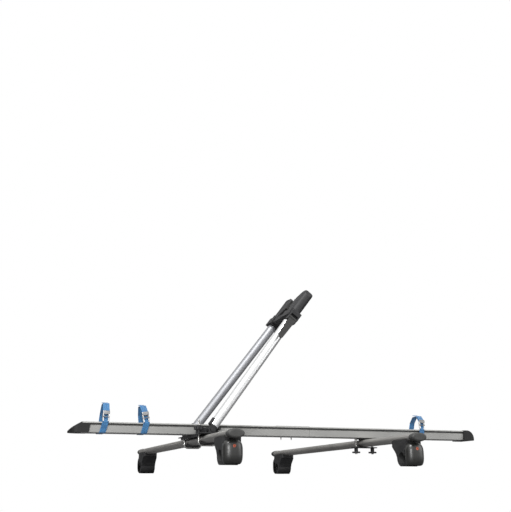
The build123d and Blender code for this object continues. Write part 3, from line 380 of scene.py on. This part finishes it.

# Arm tubes: brushed aluminium, the near one the brightest piece of the carrier. The far one wears a darker,
# bluer copy of its finish, painted shade for the shade that it stands in. The brushing runs up each tube.
tube_lean = (0.0, radians(-37.3), 0.0)
tube_silver = drawn_aluminium("tube_silver", (0.74, 0.745, 0.745), (0.64, 0.645, 0.65), axis_z, 0.30,
                              tube_lean)
wear(["arm_tube_near"], tube_silver)
tube_painted_shade = drawn_aluminium("tube_painted_shade", (0.38, 0.385, 0.40), (0.28, 0.285, 0.30), axis_z, 0.46, tube_lean)
wear(["arm_tube_far"], tube_painted_shade)

# Rubber: jaw pads, claw linings and the strips on the bars.
# Matt, a little dusty, with a fine pebble.
rubber = moulded("rubber", (0.018, 0.018, 0.018), (0.045, 0.045, 0.044), 0.62, 0.4)
wear(["rubber_pads", "far_jaw_pad", "near_jaw_pad"], rubber)

# Wheel straps: three bands of blue polypropylene webbing, 20 mm wide, each drawn tight round the tray.
# Each leans a little along the tray on its way up, and has a spare end that lies along its own outer face.
strap_width, strap_thickness = 0.020, 0.0014
strap_shifts = (0.005, 0.0, 0.0)          # along the tray, at the lip, from the fastened loop in the CAD
strap_low_leans = (-0.008, -0.007, -0.003)      # under the tray, from the place at the lip
strap_leans = (0.003, -0.009, 0.003)      # at the loop's top, from the place at the lip
strap_drops = (0.0, 0.004, 0.010)         # of the loop's top, from the fastened loop in the CAD
cad_leans = (0.008, -0.009, -0.009)       # of the fastened loops in the CAD
lip_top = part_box("tray_front")[1][2]
tray_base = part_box("tray_front")[0][2]
tray_middle_y = (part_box("tray_front")[0][1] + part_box("tray_front")[1][1]) / 2
strap_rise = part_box("wheel_strap_1")[1][2] - lip_top
strap_skin = 0.0012      # twice the distance from the band's middle to the pieces that it goes round
strap_slack = 0.0009     # over the lip's edge and under the loop's top
base_half = 0.0298 + strap_skin / 2
lip_half = 0.0363 + strap_skin / 2
base_gap, lip_depth = 0.0003, 0.004
strap_low = tray_base - base_gap - strap_skin / 2
shoulder_half, shoulder_rise, crown_half = 0.031, 0.027, 0.012
corner_cut, line_step = 0.0042, 0.0012
tail_end = (-0.0362, 0.0235)              # from the tray's middle and its lip
tail_shoulder = (-shoulder_half - 0.0052, shoulder_rise + 0.003)
tail_over_top = ((-crown_half - 0.0022, 0.0014), (0.004, 0.0020), (0.012, 0.0052))      # from the loop's top
ripple_length, loop_ripple, tail_ripple = 0.009, 0.00012, 0.00018
stitch_pitch, stitch_length, stitch_radius, stitch_lift = 0.0024, 0.0019, 0.00032, 0.0008
seam_start, seam_step = 8, 3              # points of the tail's line, back from its end


def rounded_line(corners, cut, step, closed=True):
    """Points along straight runs whose corners are quadratic curves.

    Curve at a corner P with ends A and B at the cut's length: (1-t)^2 A + 2 t (1-t) P + t^2 B, t from 0 to 1.
    """
    corners = np.array(corners, float)
    before, after = np.roll(corners, 1, 0), np.roll(corners, -1, 0)
    to_before = (before - corners) / np.linalg.norm(before - corners, axis=1)[:, None]
    to_after = (after - corners) / np.linalg.norm(after - corners, axis=1)[:, None]
    t = np.linspace(0.0, 1.0, 9)[None, :, None]
    start, end = (corners + cut * to_before)[:, None], (corners + cut * to_after)[:, None]
    curves = (1 - t) ** 2 * start + 2 * t * (1 - t) * corners[:, None] + t ** 2 * end
    if not closed:
        curves = np.concatenate([corners[:1], curves[1:-1].reshape(-1, 2), corners[-1:]])
    line = curves.reshape(-1, 2)
    if closed:
        line = np.concatenate([line, line[:1]])
    runs = np.concatenate([[0.0], np.cumsum(np.linalg.norm(np.diff(line, axis=0), axis=1))])
    count = int(runs[-1] / step)
    along = np.linspace(0.0, runs[-1], count, endpoint=not closed)
    points = np.stack([np.interp(along, runs, line[:, 0]), np.interp(along, runs, line[:, 1])], 1)
    return points, along, runs[-1]


def strap_band(name, line, along, closed, place_x, wave):
    """Webbing along a (y, z) line.

    Section: across = w/2 sgn(cos a) |cos a|^0.3, out = t/2 sgn(sin a) |sin a|^0.7, a from 0 to 2 pi.
    place_x gives the band's middle at each height, and its edges ripple by a wave along the line.
    """
    a = np.linspace(0.0, 2 * pi, 28, endpoint=False)
    across = strap_width / 2 * np.sign(np.cos(a)) * np.abs(np.cos(a)) ** 0.3
    out = strap_thickness / 2 * np.sign(np.sin(a)) * np.abs(np.sin(a)) ** 0.7
    if closed:
        heading = np.roll(line, -1, 0) - np.roll(line, 1, 0)
    else:
        heading = np.gradient(line, axis=0)
    heading = heading / np.linalg.norm(heading, axis=1)[:, None]
    normal = np.stack([heading[:, 1], -heading[:, 0]], 1)
    edge = (np.abs(across) / strap_width * 2)[None, :] ** 4
    ripple = wave * np.sin(along * 2 * pi / ripple_length)[:, None] * edge
    depth = out[None, :] + ripple
    x = place_x(line[:, 1])[:, None] + across[None, :]
    y = line[:, 0][:, None] + normal[:, 0][:, None] * depth
    z = line[:, 1][:, None] + normal[:, 1][:, None] * depth
    points = np.stack([x, y, z], -1).reshape(-1, 3)
    faces = grid_faces(len(line), len(a), closed, True)
    made = new_piece(name, points, faces, webbing, "carrier", 0 if closed else len(a))
    chart = made.data.uv_layers.new(name="weave")
    order = np.empty(len(made.data.loops), np.int32)
    made.data.loops.foreach_get("vertex_index", order)
    rows, columns = order // len(a), order % len(a)
    millimetres = np.stack([across[columns], along[rows]], 1) * 1000.0
    chart.data.foreach_set("uv", millimetres.astype(np.float32).ravel())
    return made


# The webbing's finish: rows of offset floats with dark gaps, and yarns that take light differently.
webbing = Finish("webbing", IOR=1.48, Sheen_Weight=0.35, Sheen_Roughness=0.5)
weave_at = webbing.node("ShaderNodeUVMap", {"uv_map": "weave"}, {})
floats = webbing.node("ShaderNodeTexBrick", {"offset": 0.5, "offset_frequency": 2},
                      {"Vector": weave_at, "Scale": 1.0, "Mortar Size": 0.16, "Mortar Smooth": 0.8,
                       "Brick Width": 1.9, "Row Height": 0.95, "Color1": (1.0, 1.0, 1.0, 1.0),
                       "Color2": (0.7, 0.7, 0.7, 1.0), "Mortar": (0.0, 0.0, 0.0, 1.0)})
yarns = webbing.noise(weave_at, 1.4, 3.0)
faded = webbing.noise(webbing.place(), 45.0, 3.0)
thread_tone = webbing.between(yarns.clipped(0.3, 0.7) * 0.5 + faded.clipped(0.3, 0.7) * 0.5,
                              (0.028, 0.130, 0.310), (0.060, 0.265, 0.550))
gap_tone = webbing.between(floats.clipped(0.0, 0.6), (0.008, 0.040, 0.100), (0.0, 0.0, 0.0))
webbing_tone = webbing.between(floats.clipped(0.0, 0.5), gap_tone, thread_tone)
webbing.give(Base_Color=webbing_tone, Roughness=0.62 + yarns * 0.2,
             Normal=webbing.bumps(floats + yarns * 0.3, 0.6, 0.0004))

stitching = Finish("stitching", IOR=1.5, Roughness=0.7)
twist = stitching.noise(stitching.place(), 2600.0, 2.0)
stitching.give(Base_Color=stitching.between(twist.clipped(0.3, 0.7), (0.02, 0.03, 0.06), (0.06, 0.08, 0.13)),
               Normal=stitching.bumps(twist, 0.4, 0.0002))


def stitch_rows(name, centres):
    """Sewn thread: each stitch is a bead across the strap, of radius r sqrt(sin(pi t)), t from 0 to 1."""
    t = np.linspace(0.02, 0.98, 7)[:, None]
    a = np.linspace(0.0, 2 * pi, 8, endpoint=False)[None, :]
    swell = stitch_radius * np.sqrt(np.sin(pi * t))
    bead = np.stack([stitch_length * (t - 0.5) + 0 * a, swell * np.cos(a), swell * np.sin(a)], -1)
    points = np.array(centres)[:, None, None, :] + bead
    one = grid_faces(t.shape[0], a.shape[1], False, True)
    faces = (one[None] + (np.arange(len(centres)) * t.size * a.size)[:, None, None]).reshape(-1, 4)
    return new_piece(name, points.reshape(-1, 3), faces, stitching, "carrier")


def strap_middle(number):
    """Place of a strap's middle along the tray at each height, straight from base to lip and lip to top."""
    low_corner, high_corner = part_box("wheel_strap_" + str(number))
    lip_x = (low_corner[0] + high_corner[0] - cad_leans[number - 1]) / 2 + strap_shifts[number - 1]
    heights = (tray_base, lip_top, lip_top + strap_rise - strap_drops[number - 1])
    middles = (lip_x + strap_low_leans[number - 1], lip_x, lip_x + strap_leans[number - 1])
    return lambda z: np.interp(z, heights, middles)


for number in (1, 2, 3):
    node_name = "wheel_strap_" + str(number)
    place_x = strap_middle(number)
    rise = strap_rise - strap_drops[number - 1]
    near_side = [(-crown_half, lip_top + rise - strap_slack), (-shoulder_half, lip_top + shoulder_rise),
                 (-lip_half, lip_top + strap_slack), (-lip_half, lip_top - lip_depth),
                 (-base_half, strap_low)]
    corners = near_side + [(-y, z) for y, z in reversed(near_side)]
    corners = [(tray_middle_y + y, z) for y, z in corners]
    line, along, length = rounded_line(corners, corner_cut, line_step)
    loop = strap_band("strap_loop_" + str(number), line, along, True, place_x, loop_ripple)
    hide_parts(node_name)
    tail_corners = [tail_end, tail_shoulder] + [(y, rise + z) for y, z in tail_over_top]
    tail_corners = [(tray_middle_y + y, lip_top + z) for y, z in tail_corners]
    line, along, tail_length = rounded_line(tail_corners, corner_cut, line_step, False)
    tail = strap_band("strap_tail_" + str(number), line, along, False, place_x, tail_ripple)
    seam_x = float(place_x(lip_top + rise))
    seam_rows = [line[-seam_start - seam_step * row] for row in range(2)]
    spots = [(seam_x + i * stitch_pitch, y, z + stitch_lift) for y, z in seam_rows for i in range(-3, 4)]
    stitches = stitch_rows("strap_stitches_" + str(number), spots)


# Cam buckles: a pressed steel frame with wide legs on each strap, and a cam plate on a cross pin over it.
# Plated bright; the strap runs under the legs and shows between them.
buckle_bright = plated("buckle_bright", (0.60, 0.60, 0.59), (0.44, 0.44, 0.44), 0.24)
cam_grey = plated("cam_grey", (0.27, 0.27, 0.27), (0.20, 0.20, 0.20), 0.38)
buckle_rise, buckle_lean = 0.0141, 0.205       # of a buckle's middle over the lip, and its slope inward
frame_half, frame_low, frame_high, leg_width = 0.0113, -0.0134, 0.0150, 0.0050
frame_out, frame_sheet, bar_sink = 0.0021, 0.0015, 0.0037
buckle_side = 0.03455       # from the tray's middle to the buckles' middles
ring_corner, ring_step, edge_drop, edge_power = 0.0024, 0.0009, 0.0024, 14
bar_fade, side_fade, side_gap = 0.0009, 0.0003, 0.0004      # of the lower bar's step under the strap
cam_half, cam_low, cam_reach, cam_sheet, cam_bow = 0.0109, 0.0095, 0.0112, 0.0019, 0.0022
cam_out, cam_dip = 0.0047, 0.0015       # out from the strap at the pin's end, and less at the far end
arm_half, arm_side, arm_low, arm_reach = 0.0012, 0.0093, 0.0002, cam_low + 0.002
arm_cut_back = 0.0020       # on the right of the third buckle, where the cam's pin is tilted most
pin_out, pin_radius = 0.0037, 0.0009
roller_half, knurl_half, roller_radius, knurl_depth = 0.0108, 0.0072, 0.0013, 0.0001


def buckle_axes(number):
    """Middle of a buckle on its strap, and its own axes: across the strap, up the strap, out from it."""
    place_x = strap_middle(number)
    rise = lip_top + buckle_rise
    middle = Vector((float(place_x(rise)), tray_middle_y - buckle_side, rise))
    lean = float(place_x(lip_top + shoulder_rise) - place_x(lip_top)) / shoulder_rise
    up = Vector((lean, buckle_lean, 1.0)).normalized()
    across = (Vector((1.0, 0.0, 0.0)) - up.x * up).normalized()
    return middle, np.array([across, up, across.cross(up)])


def on_buckle(number, points):
    """Points in a buckle's own axes, moved to where the buckle lies."""
    middle, axes = buckle_axes(number)
    return np.array(middle) + points @ axes


def buckle_ring(number):
    """Frame ring: a flat section swept round a rounded rectangle.

    Section: u = w/2 sgn(cos a)|cos a|^0.4, n = t/2 sgn(sin a)|sin a|^0.8. Its outer edge turns down beside
    the strap by drop (|x| / half)^power, and its lower bar passes under the strap, lower by a tanh step.
    """
    half, w = frame_half - leg_width / 2, leg_width
    low, high = frame_low + w / 2, frame_high - w / 2
    corners = [(-half, low), (half, low), (half, high), (-half, high)]
    path = rounded_line(corners, ring_corner, ring_step)[0]
    heading = np.roll(path, -1, 0) - np.roll(path, 1, 0)
    heading = heading / np.linalg.norm(heading, axis=1)[:, None]
    a = np.linspace(0.0, 2 * pi, 20, endpoint=False)
    u = w / 2 * np.sign(np.cos(a)) * np.abs(np.cos(a)) ** 0.4
    n = frame_sheet / 2 * np.sign(np.sin(a)) * np.abs(np.sin(a)) ** 0.8
    x = path[:, 0][:, None] + heading[:, 1][:, None] * u
    v = path[:, 1][:, None] - heading[:, 0][:, None] * u
    out = frame_out + n[None, :] - edge_drop * np.minimum(np.abs(x) / frame_half, 1.0) ** edge_power
    below = 0.5 - 0.5 * np.tanh((v - frame_low - leg_width) / bar_fade)
    between = 0.5 - 0.5 * np.tanh((np.abs(x) - frame_half + leg_width + side_gap) / side_fade)
    out = out - bar_sink * below * between
    points = np.stack([x, v, out], -1).reshape(-1, 3)
    return new_piece("buckle_frame_" + str(number), on_buckle(number, points),
                     grid_faces(len(path), len(a), True, True), buckle_bright, "carrier")


def cam_leaf(name, number, side, half, low, reach, bow, finish):
    """A flat piece of the cam, with its lower edge bowed down.

    v = low - bow (1 - (x / half)^2) (1 - t) + t reach, out = cam_out - cam_dip t^2, t from 0 to 1.
    """
    t = np.linspace(0.0, 1.0, 16)[:, None]
    a = np.linspace(0.0, 2 * pi, 28, endpoint=False)[None, :]
    round_end = np.sqrt(np.clip(1.0 - (2 * t - 1.0) ** 10, 0.02, 1.0))
    x = half * round_end ** 0.5 * np.sign(np.cos(a)) * np.abs(np.cos(a)) ** 0.35
    n = cam_sheet / 2 * round_end * np.sign(np.sin(a)) * np.abs(np.sin(a)) ** 0.8
    v = low - bow * (1 - (x / half) ** 2) * (1 - t) + t * reach
    points = np.stack([side + x, v + 0 * x, cam_out - cam_dip * t ** 2 + n], -1).reshape(-1, 3)
    return new_piece(name, on_buckle(number, points), grid_faces(t.shape[0], a.shape[1], False, True), finish,
                     "cam_" + str(number), a.shape[1])


def cam_roller(number):
    """Knurled cam round the cross pin: r = radius + depth cos(16 a), and the pin's own beyond the knurls."""
    x = np.linspace(-roller_half, roller_half, 30)[:, None]
    a = np.linspace(0.0, 2 * pi, 64, endpoint=False)[None, :]
    r = np.where(np.abs(x) < knurl_half, roller_radius + knurl_depth * np.cos(16 * a), pin_radius)
    points = np.stack([x + 0 * a, r * np.cos(a), pin_out + r * np.sin(a)], -1).reshape(-1, 3)
    return new_piece("cam_roller_" + str(number), on_buckle(number, points),
                     grid_faces(x.shape[0], a.shape[1], False, True), cam_grey, "cam_" + str(number),
                     a.shape[1])


for number in (1, 2, 3):
    ring = buckle_ring(number)
    if number == 1:
        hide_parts("strap_buckles")
    plate = cam_leaf("cam_plate_" + str(number), number, 0.0, cam_half, cam_low, cam_reach, cam_bow, cam_grey)
    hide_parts("buckle_cam_" + str(number))
    for side in (-arm_side, arm_side):
        arm_name = "cam_arm_" + str(number) + ("_left" if side < 0 else "_right")
        cut_back = arm_cut_back if number == 3 and side > 0 else 0.0
        cam_leaf(arm_name, number, side, arm_half, arm_low + cut_back, arm_reach - cut_back, 0.0,
                 buckle_bright)
    cam_roller(number)


# Screw threads on the U-bolts' legs and on the two rods of the rear clamp: rolled, so their crests are round.
# They show above the star knobs at the front, and above and below the clamp at the rear.
thread_skin, crest_share = 0.00003, 0.35
end_gap, nut_gap = 0.0003, 0.0001


def thread(name, middle, low, high, radius, pitch):
    """Threaded skin round a rod, fading out in the last pitch at each end.

    r = radius + skin + share pitch (0.5 + 0.5 cos(2 pi z / pitch - a)) at an angle a.
    """
    z = np.linspace(low, high, int((high - low) / pitch * 8))[:, None]
    a = np.linspace(0.0, 2 * pi, 24, endpoint=False)[None, :]
    ends = np.clip(np.minimum(z - low, high - z) / pitch, 0.0, 1.0)
    r = radius + thread_skin + crest_share * pitch * ends * (0.5 + 0.5 * np.cos(2 * pi * z / pitch - a))
    points = np.stack([middle[0] + r * np.cos(a), middle[1] + r * np.sin(a), z + 0 * a], -1).reshape(-1, 3)
    faces = grid_faces(z.shape[0], a.shape[1], False, True)
    return new_piece(name, points, faces, zinc, "carrier", a.shape[1])


leg_radius, leg_pitch = 0.003, 0.001
leg_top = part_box("u_bolts")[1][2]
for knob in star_knobs:
    low_corner, high_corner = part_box(knob)
    middle = [(a + b) / 2 for a, b in zip(low_corner, high_corner)]
    thread("leg_thread_" + knob.removeprefix("star_knob_"), middle, high_corner[2] + nut_gap,
           leg_top - end_gap, leg_radius, leg_pitch)

rod_radius, rod_pitch = 0.004, 0.00125
rod_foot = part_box("rear_clamp_bolts")[0][2]
bar_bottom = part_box("crossbar_rear")[0][2]
for end in ("front", "rear"):
    low_corner, high_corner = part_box("rear_knob_" + end)
    middle = [(a + b) / 2 for a, b in zip(low_corner, high_corner)]
    thread("rod_thread_" + end, middle, bar_bottom + end_gap, tray_base - end_gap, rod_radius, rod_pitch)
    thread("rod_tip_thread_" + end, middle, rod_foot + end_gap, low_corner[2] - nut_gap, rod_radius,
           rod_pitch)


# Studio: a pale floor under the feet, white surroundings and soft lamps.
# The floor lets a camera below it look up through its underside, and far off it fades to white.
floor_size = 28.0
fade_start, fade_end = 1.1, 3.6           # from the origin


def rectangle(name, wide, tall, finish):
    """Flat sheet of the studio, centred on its own origin."""
    mesh = bpy.data.meshes.new(name)
    x, y = wide / 2, tall / 2
    mesh.from_pydata([(-x, -y, 0), (x, -y, 0), (x, y, 0), (-x, y, 0)], [], [(0, 1, 2, 3)])
    mesh.materials.append(finish.material)
    made = bpy.data.objects.new(name, mesh)
    scene.collection.objects.link(made)
    return made


ground = Finish("ground", Base_Color=(0.66, 0.66, 0.66, 1.0), Roughness=0.9)
floor = rectangle("floor", floor_size, floor_size, ground)
from_below = ground.node("ShaderNodeNewGeometry", {}, {}, "Backfacing")
seen = ground.node("ShaderNodeLightPath", {}, {}, "Is Camera Ray")
clear = ground.node("ShaderNodeBsdfTransparent", {}, {})
unseen = ground.node("ShaderNodeBsdfDiffuse", {}, {"Color": (0.20, 0.20, 0.205, 1.0)})
distance = ground.node("ShaderNodeVectorMath", {"operation": "LENGTH"}, {0: ground.place()}, "Value")
far_off = distance.clipped(fade_start, fade_end)
white = ground.node("ShaderNodeEmission", {}, {"Strength": 1.0})
pale = Wire(ground, ground.shader.outputs[0])
plain = ground.node("ShaderNodeMixShader", {}, {0: far_off, 1: pale, 2: white})
topside = ground.node("ShaderNodeMixShader", {}, {0: seen, 1: unseen, 2: plain})
mixed = ground.node("ShaderNodeMixShader", {}, {0: from_below, 1: topside, 2: clear})
ground.links.new(mixed.socket, ground.nodes["Material Output"].inputs["Surface"])


# Grey cards stand behind the carrier and to its sides, out of the camera's sight: bright metal and gloss
# show their dark edges against them.
def facing(place, aim):
    """Turn that points an object's own -z from a place to an aim."""
    return (Vector(aim) - Vector(place)).to_track_quat("-Z", "Y").to_euler()


card_grey = Finish("card_grey", Base_Color=(0.05, 0.05, 0.052, 1.0), Roughness=0.9)
card_aim = (0.0, 0.0, 0.3)
card_spots = (("card_back", (0.6, 5.0, 1.6), 9.0, 3.6), ("card_left", (-4.6, 0.6, 1.2), 4.0, 2.6),
              ("card_right", (4.8, 1.2, 1.2), 4.0, 2.6))
for card_name, spot, wide, tall in card_spots:
    card = rectangle(card_name, wide, tall, card_grey)
    card.location = spot
    card.rotation_euler = facing(spot, card_aim)
    card.visible_camera = False
    card.visible_shadow = False
    card.visible_diffuse = False

# The surroundings are full white to the camera and in gloss, and dimmer where they light matt pieces.
sky_on_matt, sky_seen = 0.55, 1.0
map_low, map_high = 3, 4                  # places of the two ends on a Map Range node
world = bpy.data.worlds.new("studio")
scene.world = world
world.use_nodes = True
sky = world.node_tree
background = sky.nodes["Background"]
background.inputs["Color"].default_value = (1.0, 1.0, 1.0, 1.0)
ray = sky.nodes.new("ShaderNodeLightPath")
seen_or_gloss, seen_at_all = sky.nodes.new("ShaderNodeMath"), sky.nodes.new("ShaderNodeMath")
level = sky.nodes.new("ShaderNodeMapRange")
seen_or_gloss.operation = "MAXIMUM"
seen_at_all.operation = "MAXIMUM"
sky.links.new(ray.outputs["Is Camera Ray"], seen_or_gloss.inputs[0])
sky.links.new(ray.outputs["Is Glossy Ray"], seen_or_gloss.inputs[1])
sky.links.new(seen_or_gloss.outputs[0], seen_at_all.inputs[0])
sky.links.new(ray.outputs["Is Transmission Ray"], seen_at_all.inputs[1])
sky.links.new(seen_at_all.outputs[0], level.inputs[0])
level.inputs[map_low].default_value = sky_on_matt
level.inputs[map_high].default_value = sky_seen
sky.links.new(level.outputs[0], background.inputs["Strength"])


def lamp(name, place, aim, size, power, in_gloss=True):
    """Square soft lamp, aimed at a point, that can be kept out of glossy reflections."""
    light = bpy.data.lights.new(name, "AREA")
    light.size, light.energy = size, power
    made = bpy.data.objects.new(name, light)
    scene.collection.objects.link(made)
    made.location = place
    made.rotation_euler = facing(place, aim)
    made.visible_glossy = in_gloss


lamp("key", (-1.8, -2.8, 4.0), (0.0, 0.0, 0.2), 1.0, 190.0)
lamp("window", (-1.8, -4.1, 0.75), (0.0, 0.0, 0.1), 0.9, 70.0)
lamp("fill", (3.2, -2.4, 1.2), (0.0, 0.0, 0.2), 2.0, 30.0)
lamp("back", (0.5, 3.6, 2.6), (0.0, 0.0, 0.2), 2.4, 40.0, False)

scene.view_settings.view_transform = "Standard"
